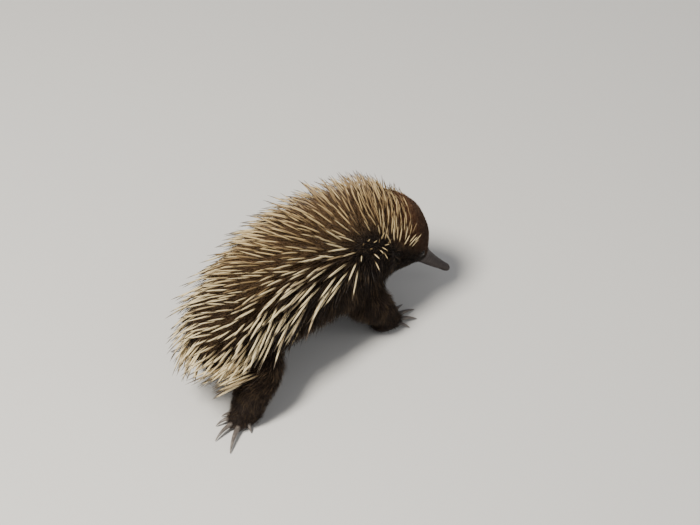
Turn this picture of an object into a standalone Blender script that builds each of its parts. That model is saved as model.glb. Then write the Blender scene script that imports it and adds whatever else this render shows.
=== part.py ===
"""A life-size short-beaked echidna, walking, as separate closed solids out to the tips of its coat.

Metres, +Z up. The animal faces +X and its right side faces -Y. It is modelled straight and then
bent to its right. The soles lie on the floor, z = 0, and the origin is under the middle of the
animal's box.
"""

import math

import bmesh
import bpy
from mathutils import Matrix, Vector

# Driving dimensions: how the body bends to its right, by radius, and where the neck's bend lies
TRUNK_BEND = 0.50
NECK_BEND = 0.20
NECK_BEND_FROM = 0.070
NECK_BEND_TO = 0.145

# Body stations from the rump's last spines to the tip of the beak: the axis's X and Z, then the
# half width, the height over the axis and the depth under it, all out to the tips of the coat.
STATIONS = (
    (-0.180, 0.082, 0.010, 0.009, 0.009),
    (-0.173, 0.084, 0.026, 0.026, 0.021),
    (-0.155, 0.087, 0.042, 0.043, 0.034),
    (-0.115, 0.092, 0.061, 0.061, 0.048),
    (-0.050, 0.099, 0.075, 0.073, 0.058),
    (0.015, 0.103, 0.080, 0.080, 0.064),
    (0.070, 0.103, 0.078, 0.081, 0.062),
    (0.108, 0.098, 0.069, 0.075, 0.052),
    (0.136, 0.088, 0.053, 0.061, 0.038),
    (0.157, 0.075, 0.0355, 0.0430, 0.0250),
    (0.169, 0.0650, 0.0215, 0.0255, 0.0160),
    (0.177, 0.0570, 0.0125, 0.0125, 0.0105),
    (0.191, 0.0430, 0.0088, 0.0078, 0.0072),
    (0.204, 0.0318, 0.0064, 0.0055, 0.0053),
    (0.213, 0.0244, 0.0053, 0.0045, 0.0047),
    (0.2158, 0.0222, 0.0025, 0.0022, 0.0023),
)
BACK_FULLNESS = 2.1
BELLY_FULLNESS = 2.5

# Where a person would part the animal, by the station's place along X
PARTINGS = {"rump": -0.092, "trunk": 0.048, "shoulders": 0.098, "neck": 0.127, "head": 0.1735}

# The clumps of spine tips that stand out of the back, and where they stop at the rump and the face
LOCK_DEPTH = 0.0022
LOCKS_FROM = -0.155
LOCKS_TO = 0.128
LOCK_FADE = 0.03

# The beak, cut at the mouth, which is a share of the depth under the axis
MOUTH_LINE = -0.38
JAW_START = 0.1775
JAW_SHORTER = 0.0011

# Eyes and ears
EYE_RADIUS = 0.0036
EYE_STATION = 0.1655
EYE_ANGLE = math.radians(20)
EYE_DEPTH = 0.0020
EAR_STATION = 0.128
EAR_ANGLE = math.radians(6)
EAR_HEIGHT = 0.020
EAR_STAND = 0.0042
EAR_CURL = 0.0035
EAR_SUNK = 0.0010

# The tail's path and its radii
TAIL_PATH = ((-0.140, 0, 0.086), (-0.168, 0, 0.078), (-0.186, 0, 0.066))
TAIL_RADII = (0.020, 0.0175, 0.0145, 0.0115, 0.008, 0.0035)

# Legs: points down each leg's middle, with Y out from the body's middle, then the leg's radius there
LEGS = {
    "fore": (
        (0.000, 0.028, 0.080, 0.0260),
        (-0.010, 0.042, 0.062, 0.0290),
        (-0.004, 0.056, 0.042, 0.0250),
        (0.006, 0.060, 0.025, 0.0185),
    ),
    "hind": (
        (0.000, 0.024, 0.088, 0.0280),
        (0.010, 0.038, 0.072, 0.0300),
        (0.002, 0.054, 0.048, 0.0265),
        (-0.008, 0.058, 0.026, 0.0190),
    ),
}
LEVEL_FROM = 0.35

# Stance: where along X each limb is set, how far its foot swings ahead and outwards from there, and
# the heading of the foot's own line in the floor, in degrees from +X outwards. The hind feet
# point backwards, as an echidna's do, and the right one trails as the animal pushes off.
STANCE = {
    "fore_right": (0.082, 0.010, -0.008, -4),
    "fore_left": (0.076, -0.016, 0.002, 4),
    "hind_right": (-0.098, -0.030, -0.012, -168),
    "hind_left": (-0.074, 0.030, 0.000, 174),
}

# Toes from the first to the fifth: heading from the foot's own line in degrees, reach of the toe's
# end from the foot's middle, toe radius, claw length and claw thickness. The second hind claw is the
# long one that the animal grooms with.
TOES = {
    "fore": (
        (-44, 0.0150, 0.0048, 0.012, 0.0030),
        (-20, 0.0185, 0.0054, 0.019, 0.0036),
        (1, 0.0195, 0.0056, 0.021, 0.0038),
        (22, 0.0180, 0.0054, 0.018, 0.0036),
        (46, 0.0150, 0.0048, 0.012, 0.0030),
    ),
    "hind": (
        (-58, 0.0135, 0.0046, 0.007, 0.0030),
        (-24, 0.0200, 0.0052, 0.033, 0.0034),
        (2, 0.0205, 0.0052, 0.024, 0.0033),
        (28, 0.0180, 0.0050, 0.014, 0.0030),
        (54, 0.0150, 0.0046, 0.010, 0.0028),
    ),
}
TOE_SHAPE = ((0.2, 1.0), (0.6, 1.12), (0.95, 1.0), (1.15, 0.72), (1.25, 0.3))
TOE_FLATNESS = 0.9

# Foot pads: half length, then the places along it with the share of the half width there
PAD_HALF_LENGTH = {"fore": 0.0165, "hind": 0.0185}
PAD_SHAPE = ((-1.0, 0.30), (-0.78, 0.72), (-0.35, 0.95), (0.1, 1.0), (0.6, 0.9), (0.95, 0.55))
PAD_HALF_WIDTH = 0.0150
PAD_FLATNESS = 0.78
PAD_MIDDLE = 0.0085
PAD_AHEAD = 0.005
ANKLE_FOOT = 0.010
ANKLE_SHAPE = ((0.0, 1.0), (0.35, 0.94), (0.7, 0.82), (1.0, 0.6))

# Claws: how far each bows up, droops at its tip as a share of the toe's radius, and curves outwards
# as a share of its length, then its flatness
CLAW_SHAPE = {"fore": (0.0012, 0.72, 0.0, 0.62), "hind": (0.0024, 0.70, 0.16, 0.85)}
CLAW_TAPER = 0.86
CLAW_ROOT = 0.25
CLAW_CLEARANCE = 0.0004

# How finely each shape is divided, and the gap between neighbours
BODY_SIDES = 32
BEAK_SIDES = 16
LIMB_SIDES = 14
LIMB_RINGS = 8
TOE_SIDES = 8
CLAW_SIDES = 6
CLAW_RINGS = 6
EAR_RINGS = 7
EYE_SEGMENTS = 12
RING_STEP = 0.0115
BEAK_RING_STEP = 0.0055
END_INSET = 0.0004
GAP = 0.0003

UP = Vector((0, 0, 1))
LEFT = Vector((0, 1, 0))
FORWARD = Vector((1, 0, 0))

COLOURS = {
    "spiny_coat": ((0.34, 0.27, 0.17), 0.75),
    "dark_fur": ((0.045, 0.03, 0.022), 0.9),
    "brown_fur": ((0.10, 0.058, 0.034), 0.9),
    "beak_skin": ((0.065, 0.055, 0.056), 0.5),
    "foot_skin": ((0.05, 0.04, 0.036), 0.7),
    "claw_horn": ((0.14, 0.125, 0.11), 0.35),
    "eye": ((0.006, 0.004, 0.003), 0.08),
}


def clear_scene():
    for old in list(bpy.data.objects):
        bpy.data.objects.remove(old)


def finish(name):
    """The material of that finish, made once."""
    made = bpy.data.materials.get(name)
    if made:
        return made
    colour, roughness = COLOURS[name]
    made = bpy.data.materials.new(name)
    made.use_nodes = True
    shader = made.node_tree.nodes["Principled BSDF"]
    shader.inputs["Base Color"].default_value = (*colour, 1)
    shader.inputs["Roughness"].default_value = roughness
    shader.inputs["Metallic"].default_value = 0
    return made


def clamped(value):
    return min(max(value, 0), 1)


def smooth_between(points, share):
    """A point on the smooth curve through these points, share running from 0 to 1."""
    last = len(points) - 1
    place = clamped(share) * last
    i = min(int(place), last - 1)
    t = place - i
    before = points[max(i - 1, 0)]
    start, end = points[i], points[i + 1]
    after = points[min(i + 2, last)]
    return tuple(
        0.5 * (2 * b + (c - a) * t + (2 * a - 5 * b + 4 * c - d) * t**2 + (3 * b - a - 3 * c + d) * t**3)
        for a, b, c, d in zip(before, start, end, after, strict=True)
    )


def curve_points(points, count):
    return [smooth_between(points, i / (count - 1)) for i in range(count)]


def share_at(x):
    """The share along the stations at which the body's axis has this X, by halving."""
    low, high = 0.0, 1.0
    for _ in range(40):
        middle = (low + high) / 2
        if smooth_between(STATIONS, middle)[0] < x:
            low = middle
        else:
            high = middle
    return low


def body_frame(share):
    """The axis point, the forward direction and the up direction across the body at a share."""
    step = 0.004
    here = smooth_between(STATIONS, share)
    ahead = smooth_between(STATIONS, share + step)
    behind = smooth_between(STATIONS, share - step)
    forward = Vector((ahead[0] - behind[0], 0, ahead[1] - behind[1])).normalized()
    up = Vector((-forward.z, 0, forward.x))
    return Vector((here[0], 0, here[1])), forward, up


def power(value, exponent):
    return math.copysign(abs(value) ** exponent, value)


def body_point(share, angle, extra=0.0):
    """A point of the body's outline: angle 0 faces the right side, and a quarter turn faces up."""
    centre, _, up = body_frame(share)
    _, _, half_width, rise, drop = smooth_between(STATIONS, share)
    fullness = BACK_FULLNESS if math.sin(angle) > 0 else BELLY_FULLNESS
    height = rise if math.sin(angle) > 0 else drop
    side = (half_width + extra) * power(math.cos(angle), 2 / fullness)
    lift = (height + extra) * power(math.sin(angle), 2 / fullness)
    return centre - side * LEFT + lift * up


def lock(share, angle, ring, spoke):
    """How far the tips of one clump of spines stand out, on every second point of the back."""
    x = smooth_between(STATIONS, share)[0]
    lengthwise = clamped((LOCKS_TO - x) / LOCK_FADE) * clamped((x - LOCKS_FROM) / LOCK_FADE)
    around = clamped(math.sin(angle) + 0.2)
    return LOCK_DEPTH * lengthwise * around * (1 if (ring + spoke) % 2 else -1)


def body_rings(start_x, end_x, step, extra=0.0, locks=True):
    """Rings of the body's outline from one X to a gap short of another, evenly spaced."""
    count = max(2, round((end_x - start_x) / step))
    rings = []
    for i in range(count + 1):
        share = share_at(start_x + (end_x - start_x) * i / count)
        clumped = locks and i not in (0, count)
        ring = []
        for k in range(BODY_SIDES):
            angle = math.tau * k / BODY_SIDES
            out = lock(share, angle, i, k) if clumped else 0.0
            ring.append(body_point(share, angle, extra + out))
        rings.append(ring)
    _, forward, _ = body_frame(share_at(end_x))
    rings[-1] = [point - GAP * forward for point in rings[-1]]
    return rings


def axis_bend(x):
    """Where the bent body's middle line is at this X, and how far it has turned to the right there:
    evenly along the trunk, more at the neck, and no further past it."""
    place, turn, done = Vector((0, 0, 0)), 0.0, 0.0
    stretches = ((NECK_BEND_FROM, TRUNK_BEND), (NECK_BEND_TO, NECK_BEND), (math.inf, math.inf))
    for end, radius in stretches:
        length = min(x, end) - done
        swing = length / radius
        chord = length if radius == math.inf else 2 * radius * math.sin(swing / 2)
        middle = turn + swing / 2
        place += Vector((math.cos(middle), -math.sin(middle), 0)) * chord
        turn += swing
        done += length
        if x <= end:
            break
    return place, turn


def bent(point):
    """A point of the straight body, bent with it."""
    place, turn = axis_bend(point.x)
    return place + Vector((math.sin(turn), math.cos(turn), 0)) * point.y + UP * point.z


def carried(point, x):
    """A point of a limb, carried unbent by the body's middle line at the limb's own X."""
    place, turn = axis_bend(x)
    return place + Matrix.Rotation(-turn, 3, "Z") @ (point - FORWARD * x)


def mesh_object(name, mesh_data, finish_name, limb=None):
    """A smooth-shaded object, bent with the body, or carried by it if it belongs to a limb."""
    for vertex in mesh_data.verts:
        vertex.co = carried(vertex.co, STANCE[limb][0]) if limb else bent(vertex.co)
    bmesh.ops.recalc_face_normals(mesh_data, faces=mesh_data.faces)
    mesh = bpy.data.meshes.new(name)
    mesh_data.to_mesh(mesh)
    mesh_data.free()
    mesh.shade_smooth()
    mesh.materials.append(finish(finish_name))
    made = bpy.data.objects.new(name, mesh)
    bpy.context.scene.collection.objects.link(made)
    return made


def lofted(name, rings, finish_name, limb=None):
    """An object that joins rings of equal count with quads and closes both ends with fans."""
    mesh_data = bmesh.new()
    rows = [[mesh_data.verts.new(point) for point in ring] for ring in rings]
    count = len(rows[0])
    for row, following in zip(rows, rows[1:]):
        for k in range(count):
            after = (k + 1) % count
            mesh_data.faces.new((row[k], row[after], following[after], following[k]))
    for row, ring in ((rows[0][::-1], rings[0]), (rows[-1], rings[-1])):
        middle = mesh_data.verts.new(sum(ring, Vector()) / count)
        for k in range(count):
            mesh_data.faces.new((row[k], row[(k + 1) % count], middle))
    return mesh_object(name, mesh_data, finish_name, limb)


def as_cutter(made):
    made.hide_render = True
    made.display_type = "WIRE"
    return made


def combine(target, other, operation):
    modifier = target.modifiers.new(f"{operation.lower()}_{other.name}", "BOOLEAN")
    modifier.operation = operation
    modifier.object = other
    modifier.solver = "EXACT"


def make_body_cutter(name, extra):
    """The whole body a little larger, which trims what grows out of it."""
    first, last = STATIONS[0][0] + END_INSET, STATIONS[-1][0] - END_INSET
    rings = body_rings(first, last, RING_STEP / 2, extra, locks=False)
    rings.insert(0, [point - FORWARD * 2 * extra for point in rings[0]])
    return as_cutter(lofted(name, rings, "spiny_coat"))


def make_body_lengths():
    """Rump, trunk, shoulders, neck and head, which meet across thin flat gaps."""
    start = STATIONS[0][0] + END_INSET
    finishes = {"neck": "brown_fur", "head": "brown_fur"}
    made = {}
    for name, end in PARTINGS.items():
        step = BEAK_RING_STEP if name == "head" else RING_STEP
        made[name] = lofted(name, body_rings(start, end, step), finishes.get(name, "spiny_coat"))
        start = end
    return made


def beak_ring(x, lowest=None, highest=None):
    """The beak's outline at one X, cut flat at the mouth: heights are shares of the depth."""
    share = share_at(x)
    centre, _, up = body_frame(share)
    drop = smooth_between(STATIONS, share)[4]
    ring = []
    for k in range(BEAK_SIDES):
        point = body_point(share, math.tau * (k + 0.5) / BEAK_SIDES)
        height = (point - centre).dot(up)
        kept = height
        if lowest is not None:
            kept = max(kept, lowest * drop)
        if highest is not None:
            kept = min(kept, highest * drop - GAP)
        ring.append(point + (kept - height) * up)
    return ring


def evenly(start, end, steps):
    return [start + (end - start) * i / steps for i in range(steps + 1)]


def make_beak():
    """The upper beak with the whole root, and the thin lower jaw under it."""
    root, mouth, tip = PARTINGS["head"], JAW_START + GAP, STATIONS[-1][0] - GAP
    steps = round((tip - mouth) / BEAK_RING_STEP)
    rings = [beak_ring(x) for x in (root, (root + JAW_START) / 2, JAW_START)]
    rings += [beak_ring(x, lowest=MOUTH_LINE) for x in evenly(mouth, tip, steps)]
    lofted("beak", rings, "beak_skin")
    jaw_places = evenly(mouth + GAP, tip - JAW_SHORTER, steps)
    lofted("jaw", [beak_ring(x, highest=MOUTH_LINE) for x in jaw_places], "beak_skin")


def tube_rings(points, radii, sides, flat=1.0, floor=None, level_from=None, upright=False):
    """Rings along a path. Flat squeezes them across the path, and floor keeps them above it. Past
    the share level_from they turn until the last one lies level. Upright is for a path that runs up
    or down, whose rings start from the animal's side instead of from the path's own."""
    rings = []
    path = [Vector(p) for p in points]
    last = len(path) - 1
    for i, (point, radius) in enumerate(zip(path, radii, strict=True)):
        along = (path[min(i + 1, last)] - path[max(i - 1, 0)]).normalized()
        if level_from is not None:
            level = 1 if level_from == 0 else clamped((i / last - level_from) / (1 - level_from))
            along = along.lerp(-UP, level).normalized()
        side = LEFT if upright else along.cross(UP).normalized()
        side = (side - side.dot(along) * along).normalized()
        up = side.cross(along)
        ring = []
        for k in range(sides):
            turn = math.tau * k / sides
            spot = point + radius * (math.cos(turn) * side + flat * math.sin(turn) * up)
            if floor is not None:
                spot.z = max(spot.z, floor)
            ring.append(spot)
        rings.append(ring)
    return rings


def side_sign(limb):
    return -1 if limb.endswith("right") else 1


def kind_of(limb):
    return limb.split("_")[0]


def limb_path(limb):
    """The points and radii down a leg, swung so that the foot stands where the stance says."""
    base_x, swing, outwards, _ = STANCE[limb]
    points = LEGS[kind_of(limb)]
    path = []
    for i, (x, y, z, radius) in enumerate(points):
        share = i / (len(points) - 1)
        out = side_sign(limb) * (y + outwards * share)
        path.append((base_x + x + swing * share, out, z, radius))
    found = curve_points(path, LIMB_RINGS)
    return [Vector(p[:3]) for p in found], [p[3] for p in found]


def foot_place(limb):
    """Where the foot's middle stands on the floor, and its heading there."""
    ankle = limb_path(limb)[0][-1]
    angle = math.radians(STANCE[limb][3]) * side_sign(limb)
    heading = Vector((math.cos(angle), math.sin(angle), 0))
    return Vector((ankle.x, ankle.y, 0)) + heading * PAD_AHEAD, heading


def toe_direction(heading, degrees, limb):
    """Heading turned away from the first toe. On a hind foot, which is turned right round outwards,
    the first toe is on the outer side."""
    return Matrix.Rotation(math.radians(degrees) * side_sign(limb), 3, "Z") @ heading


def make_ankle(limb, name, middle):
    """The foot's upper part, which starts level a gap under the leg."""
    spots, widths = limb_path(limb)
    top, bottom = spots[-1] - UP * GAP, Vector((middle.x, middle.y, ANKLE_FOOT))
    points = [top.lerp(bottom, t) for t, _ in ANKLE_SHAPE]
    radii = [widths[-1] * share for _, share in ANKLE_SHAPE]
    rings = tube_rings(points, radii, LIMB_SIDES, level_from=0, upright=True)
    return lofted(f"{name}_ankle", rings, "foot_skin", limb)


def make_foot(limb, name, extra=0.0):
    """A flat-soled pad joined with its ankle and five toes. With extra it is a larger copy."""
    kind = kind_of(limb)
    middle, heading = foot_place(limb)
    half_length, sole = PAD_HALF_LENGTH[kind] + extra, -extra
    points = [middle + heading * half_length * place + UP * PAD_MIDDLE for place, _ in PAD_SHAPE]
    radii = [(PAD_HALF_WIDTH + extra) * share for _, share in PAD_SHAPE]
    rings = tube_rings(points, radii, LIMB_SIDES, PAD_FLATNESS, sole)
    foot = lofted(name, rings, "foot_skin", limb)
    combine(foot, as_cutter(make_ankle(limb, name, middle)), "UNION")
    for i, (degrees, reach, radius, _, _) in enumerate(TOES[kind]):
        direction = toe_direction(heading, degrees, limb)
        points = []
        for place, _ in TOE_SHAPE:
            out = direction * (reach * place + extra)
            points.append(middle + out + UP * radius * (1.28 - 0.35 * place))
        radii = [radius * share + extra for _, share in TOE_SHAPE]
        rings = tube_rings(points, radii, TOE_SIDES, TOE_FLATNESS, sole)
        toe = lofted(f"{name}_toe_{i + 1}", rings, "foot_skin", limb)
        combine(foot, as_cutter(toe), "UNION")
    return foot


def make_claws(limb, foot_cutter):
    """One curved claw for each toe, trimmed where it grows from the toe."""
    kind = kind_of(limb)
    middle, heading = foot_place(limb)
    bow, droop, curve, flatness = CLAW_SHAPE[kind]
    for i, (degrees, reach, radius, length, thickness) in enumerate(TOES[kind]):
        direction = toe_direction(heading, degrees, limb)
        outwards = direction.cross(UP) * side_sign(limb)
        root = middle + direction * reach + UP * radius
        points, radii = [], []
        for t in evenly(0, 1, CLAW_RINGS - 1):
            ahead = direction * (length + CLAW_ROOT * reach) * t
            lift = UP * (bow * math.sin(math.pi * t) - droop * radius * t * t)
            points.append(root + ahead + lift + outwards * curve * length * t * t)
            radii.append(thickness * (1 - CLAW_TAPER * t**1.6))
        rings = tube_rings(points, radii, CLAW_SIDES, flatness, CLAW_CLEARANCE)
        claw = lofted(f"claw_{limb}_{i + 1}", rings, "claw_horn", limb)
        combine(claw, foot_cutter, "DIFFERENCE")


def make_limb(limb, body_cutter):
    """A leg trimmed by the body above, with the foot under it and the foot's claws."""
    kind, side = limb.split("_")
    points, radii = limb_path(limb)
    rings = tube_rings(points, radii, LIMB_SIDES, level_from=LEVEL_FROM, upright=True)
    leg = lofted(f"{kind}leg_{side}", rings, "dark_fur", limb)
    combine(leg, body_cutter, "DIFFERENCE")
    foot_name = f"{kind}foot_{side}"
    make_foot(limb, foot_name)
    make_claws(limb, as_cutter(make_foot(limb, f"{foot_name}_cutter", GAP)))


def make_tail():
    """The short blunt tail under the rump's last spines, trimmed well clear of its steep end."""
    path = curve_points(TAIL_PATH, len(TAIL_RADII))
    tail = lofted("tail", tube_rings(path, TAIL_RADII, LIMB_SIDES), "dark_fur")
    combine(tail, make_body_cutter("tail_cutter", 2 * GAP), "DIFFERENCE")


def sphere(name, centre, radius, finish_name):
    mesh_data = bmesh.new()
    bmesh.ops.create_uvsphere(
        mesh_data, u_segments=EYE_SEGMENTS, v_segments=EYE_SEGMENTS * 2 // 3, radius=radius
    )
    for vertex in mesh_data.verts:
        vertex.co += centre
    return mesh_object(name, mesh_data, finish_name)


def make_eyes(head):
    """Small beads sunk in the face on both sides of the beak's root."""
    share = share_at(EYE_STATION)
    for side, angle in (("right", EYE_ANGLE), ("left", math.pi - EYE_ANGLE)):
        surface = body_point(share, angle)
        inward = (body_frame(share)[0] - surface).normalized()
        spot = surface + inward * EYE_DEPTH
        sphere(f"eye_{side}", spot, EYE_RADIUS, "eye")
        socket = as_cutter(sphere(f"eye_socket_{side}", spot, EYE_RADIUS + GAP, "eye"))
        combine(head, socket, "DIFFERENCE")


def make_ears(body_cutter):
    """The low upright rim behind each ear's slit, on the side of the head behind the eye."""
    for side, middle_angle, sign in (("right", EAR_ANGLE, 1), ("left", math.pi - EAR_ANGLE, -1)):
        points, radii = [], []
        for t in evenly(-1, 1, EAR_RINGS - 1):
            bulge = max(1 - t * t, 0)
            share = share_at(EAR_STATION - EAR_CURL * bulge)
            half_width = smooth_between(STATIONS, share)[2]
            angle = middle_angle + sign * t * EAR_HEIGHT / 2 / half_width
            points.append(body_point(share, angle, -EAR_SUNK))
            radii.append(EAR_STAND * math.sqrt(bulge) + EAR_SUNK)
        ear = lofted(f"ear_{side}", tube_rings(points, radii, TOE_SIDES, upright=True), "brown_fur")
        combine(ear, body_cutter, "DIFFERENCE")


def centre_on_floor():
    """Moves every object so that the floor's point under the animal's middle is the origin."""
    bpy.context.view_layer.update()
    graph = bpy.context.evaluated_depsgraph_get()
    shown = [made for made in bpy.data.objects if not made.hide_render]
    corners = [Vector(c) for made in shown for c in made.evaluated_get(graph).bound_box]
    low = Vector(min(c[i] for c in corners) for i in range(3))
    high = Vector(max(c[i] for c in corners) for i in range(3))
    shift = Vector((-(low.x + high.x) / 2, -(low.y + high.y) / 2, -low.z))
    for made in bpy.data.objects:
        made.data.transform(Matrix.Translation(shift))


def main():
    clear_scene()
    body_cutter = make_body_cutter("body_cutter", GAP)
    lengths = make_body_lengths()
    make_beak()
    make_eyes(lengths["head"])
    make_ears(body_cutter)
    make_tail()
    for limb in STANCE:
        make_limb(limb, body_cutter)
    centre_on_floor()


main()
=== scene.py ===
"""The looks of a life-size short-beaked echidna: one skin, its quills and fur, its eyes and claws.

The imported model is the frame, and runs out to the tips of the coat. The skin lies inside it by the
coat's depth. Metres, +Z up. The animal faces +X, bends to its right, and its right side faces -Y.
"""

import math
from dataclasses import dataclass, fields

import bmesh
import bpy
import numpy as np
from mathutils import Matrix, Vector
from mathutils.bvhtree import BVHTree


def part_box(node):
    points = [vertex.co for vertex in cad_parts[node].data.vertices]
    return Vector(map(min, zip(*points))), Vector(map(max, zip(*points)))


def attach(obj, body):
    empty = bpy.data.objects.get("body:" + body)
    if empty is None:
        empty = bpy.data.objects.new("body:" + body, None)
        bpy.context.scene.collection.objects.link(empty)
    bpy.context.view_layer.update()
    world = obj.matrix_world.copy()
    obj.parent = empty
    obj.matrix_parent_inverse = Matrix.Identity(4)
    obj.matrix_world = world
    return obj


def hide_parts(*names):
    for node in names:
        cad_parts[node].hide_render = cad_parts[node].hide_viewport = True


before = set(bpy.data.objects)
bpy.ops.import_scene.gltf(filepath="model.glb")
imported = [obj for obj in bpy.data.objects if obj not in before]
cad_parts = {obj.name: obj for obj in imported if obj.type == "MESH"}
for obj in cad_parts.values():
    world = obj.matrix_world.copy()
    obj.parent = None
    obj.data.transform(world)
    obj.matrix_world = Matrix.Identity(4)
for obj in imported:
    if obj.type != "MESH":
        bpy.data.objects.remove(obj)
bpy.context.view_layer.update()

bl_info = {
    "name": "Echidna looks",
    "version": (1, 0, 0),
    "blender": (4, 5, 0),
    "location": "View3D > Sidebar > Echidna",
    "description": "Skin, quills, fur, eyes and claws of a life-size short-beaked echidna",
    "category": "Object",
}

MM = 0.001
MERGE_WITHIN = 1e-6

# The body's middle line: where it starts on the floor, then each bend to the right by how far along
# it ends and its radius, and the height of the body's axis along it
MIDDLE_START = (-0.0098, 0.0043)
BENDS = ((0.070, 0.50), (0.145, 0.20), (1.0, 1000.0))
AXIS_ALONG = (-0.180, -0.155, -0.115, -0.050, 0.015, 0.070, 0.108, 0.136, 0.157, 0.169, 0.2158)
AXIS_HEIGHT = (0.082, 0.087, 0.092, 0.099, 0.103, 0.103, 0.098, 0.088, 0.075, 0.065, 0.0222)
BEAK_ENDS = (0.2158, 0.169)

SIDES = ("right", "left")
BODY = ("rump", "trunk", "shoulders", "neck", "head")
BEAK = ("beak", "jaw")
TAIL = ("tail",)
LEGS = tuple(f"{kind}leg_{side}" for kind in ("fore", "hind") for side in SIDES)
FEET = tuple(f"{kind}foot_{side}" for kind in ("fore", "hind") for side in SIDES)
EARS = tuple(f"ear_{side}" for side in SIDES)
FLESH = BODY + BEAK + TAIL + LEGS + FEET

# How far the nodes of flesh are swollen until they overlap, and the edge length of the first skin
# over them
SWELL = 0.25 * MM
FIRST_STEP = 2.0 * MM

# The skin is finer on the face and beak, near the floor and around the eyes, and bare on the soles
FINE_FROM = 0.118
FINEST_FROM = 0.183
FINE_BELOW = 20 * MM
FINE_EYE_REACH = 7 * MM
SOLE_BELOW = 3.5 * MM

# How far the skin lies under the CAD surface along the back, and the share of that around the body,
# in degrees down from the top of the back
DEPTH_ALONG = (-0.180, -0.150, -0.100, 0.000, 0.070, 0.110, 0.138, 0.156, 0.166, 0.1735)
DEPTH_THERE = (0.013, 0.020, 0.026, 0.028, 0.026, 0.022, 0.014, 0.0068, 0.0030, 0.0003)
DEPTH_AROUND = (0, 60, 95, 130, 180)
DEPTH_SHARE = (1.0, 0.92, 0.70, 0.42, 0.36)

# The rump's skin is drawn forward to this share of its length behind this place
RUMP_DRAWN_FROM = -0.120
RUMP_DRAWN_TO = 0.58

# Where the quills stop, in degrees down from the top of the back
EDGE_ALONG = (
    -0.180, -0.150, -0.134, -0.116, -0.098, -0.060, -0.023, 0.008, 0.062, 0.090, 0.130, 0.160,
)
EDGE_DOWN = (150, 140, 126, 105, 98, 93, 88, 84, 77, 72, 64, 58)

# The whorl on each shoulder that the quills fan from, the length along the body that a degree
# around it counts as there, and how wide the coat turns around it, in millimetres
WHORL_ALONG = 0.090
WHORL_DOWN = 69
FAN_PER_DEGREE = 1.36 * MM
WHORL_TURN = 56

# How much the coat leans down over the rump, by degrees down from the top of the back, and the way
# that it is brushed above the right hind leg
LEAN_AROUND = (35, 85, 125, 150)
LEAN_SHARE = (0.40, 0.28, 0.12, 0)
BRUSHED = (-0.97, 0.24, -0.05)

# Length and thickness of the quills and length of the fur along the body, the quills' angle off the
# skin around it, and a hair's thickness by its length
QUILL_ALONG = (-0.18, -0.15, -0.12, -0.08, 0.00, 0.07, 0.11, 0.135, 0.16)
QUILL_LENGTH = (0.030, 0.039, 0.051, 0.057, 0.060, 0.053, 0.046, 0.038, 0.027)
GAUGE_ALONG = (-0.15, 0.0, 0.08, 0.13, 0.16)
GAUGE_SHARE = (0.90, 1.0, 0.88, 0.64, 0.45)
LIFT_AROUND = (0, 35, 60, 80, 110)
LIFT_DEGREES = (29, 26, 21, 14, 10)
FUR_ALONG = (-0.16, 0.05, 0.105, 0.130, 0.150, 0.162, 0.170)
FUR_LENGTH = (0.022, 0.022, 0.019, 0.0150, 0.0115, 0.0080, 0.0040)
HAIR_LENGTH = (0.002, 0.006, 0.020)
HAIR_GAUGE = (0.45, 0.75, 1.25)

# A quill's and a bristle's width by the share of the way along it
QUILL_WIDTHS = (
    (-0.05, 0.50), (0.08, 0.74), (0.22, 0.93), (0.37, 1.0),
    (0.53, 0.93), (0.69, 0.74), (0.83, 0.46), (0.94, 0.20),
)
BRISTLE_WIDTHS = ((-0.04, 0.9), (0.25, 1.0), (0.50, 0.85), (0.75, 0.55))
BRISTLE_LENGTH_SHARE = 0.72
BRISTLE_GAUGE_SHARE = 0.34

# Where the coat's pieces meet: along the body, in degrees past the edge of the quills, and the
# height on the legs above which quills grow
HEAD_QUILLS_FROM = 0.105
NECK_FUR_FROM = 0.112
FACE_FUR_FROM = 0.142
LOW_RUMP_BEHIND = -0.116
LOW_RUMP_DOWN = (88, 150)
RUMP_END_BEHIND = -0.140
RUMP_END_DOWN = 50
UNDERFUR_PAST_EDGE = 6
QUILLED_LEG_HEIGHT = 0.057

# A tuft's patch on its bake map, and the map's margin
PATCH_SIZE = 0.003
MAP_MARGIN = 0.001

# Claws are grown by this from their points, so that they root in the toes
CLAW_ROOTED = 1.13

# The camera: its angles, its distance, what a pixel covers at the animal, and the pixel at which
# the frame's point AIM is seen in the picture
AZIMUTH = math.radians(-45)
ELEVATION = math.radians(41)
DISTANCE = 3.0
PIXEL_COVERS = 0.00115
AIM = Vector((0, 0, 0.09))
AIM_PIXEL = (299, 278)
PICTURE = (700, 525)
SENSOR = 36.0

# Each light's name, direction from the animal, distance, size, watts and colour, and the light from
# all around
LIGHTS = (
    ("key", (-0.75, 0.05, 1.25), 2.4, 0.7, 108, (1.0, 0.97, 0.91)),
    ("fill", (0.2, -1.0, 0.7), 2.6, 2.0, 11, (0.93, 0.96, 1.0)),
)
SKY = (0.92, 0.94, 1.0, 1)
SKY_STRENGTH = 0.34
FLOOR_HALF = 6.0

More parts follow.
